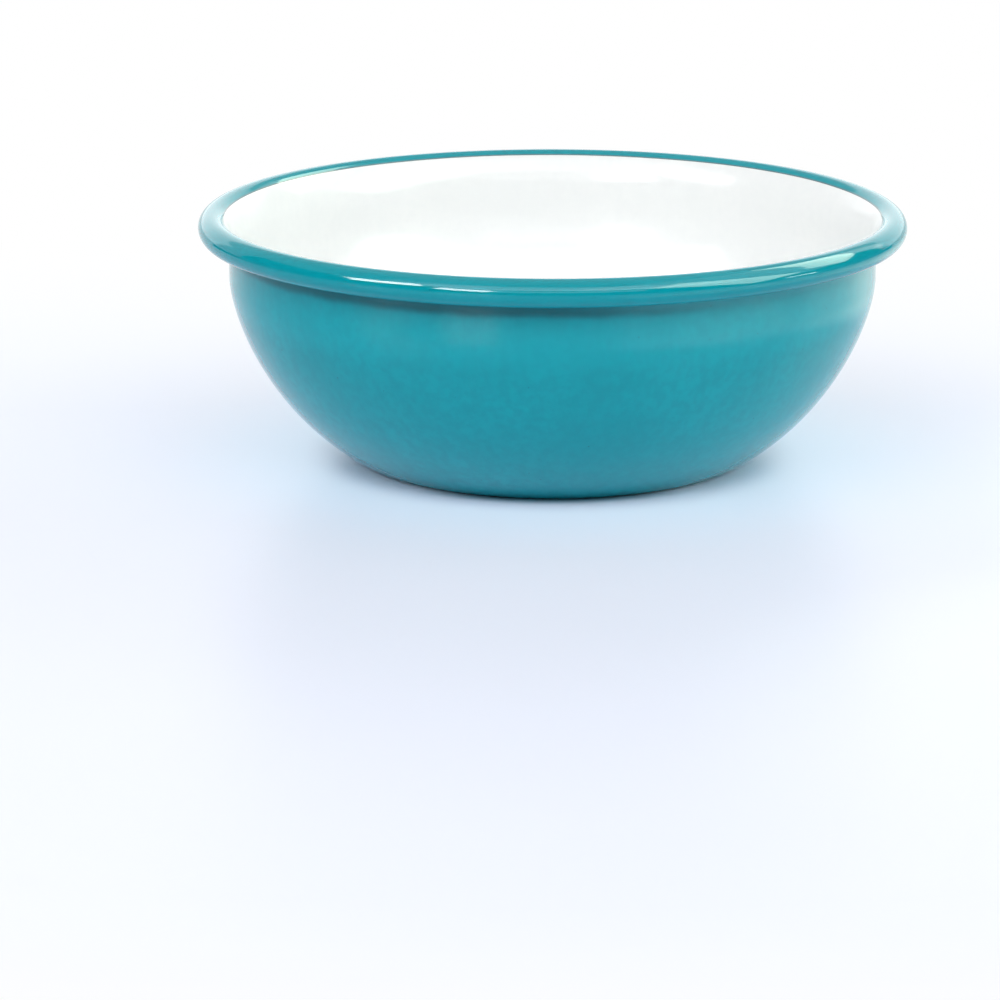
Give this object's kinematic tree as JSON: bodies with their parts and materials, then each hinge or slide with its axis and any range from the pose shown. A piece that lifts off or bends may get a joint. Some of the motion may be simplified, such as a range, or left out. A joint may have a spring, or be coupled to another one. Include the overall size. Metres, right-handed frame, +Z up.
{
  "type": "enamel basin bowl",
  "caption": "Round enamelled steel basin bowl with a thick rolled rim, white inside and teal outside, standing on a flat base, for serving, mixing or washing food.",
  "frame": {"origin": "middle of the foot ring, on the plane that the bowl stands on", "axes": "+Z up along the bowl's axis, out of its mouth; X and Y are any two level directions, as the bowl is turned"},
  "size_m": [0.16, 0.16, 0.0565],
  "materials": {
    "steel": "bare drawn sheet",
    "ground_enamel": "fired ground coat",
    "white_enamel": "gloss",
    "rim_enamel": "gloss",
    "teal_enamel": "gloss"
  },
  "bodies": {
    "root": {"steel_shell": "steel", "ground_coat_inside": "ground_enamel", "ground_coat_outside": "ground_enamel", "white_lining": "white_enamel", "rim_band": "rim_enamel", "teal_jacket": "teal_enamel"}
  },
  "joints": []
}
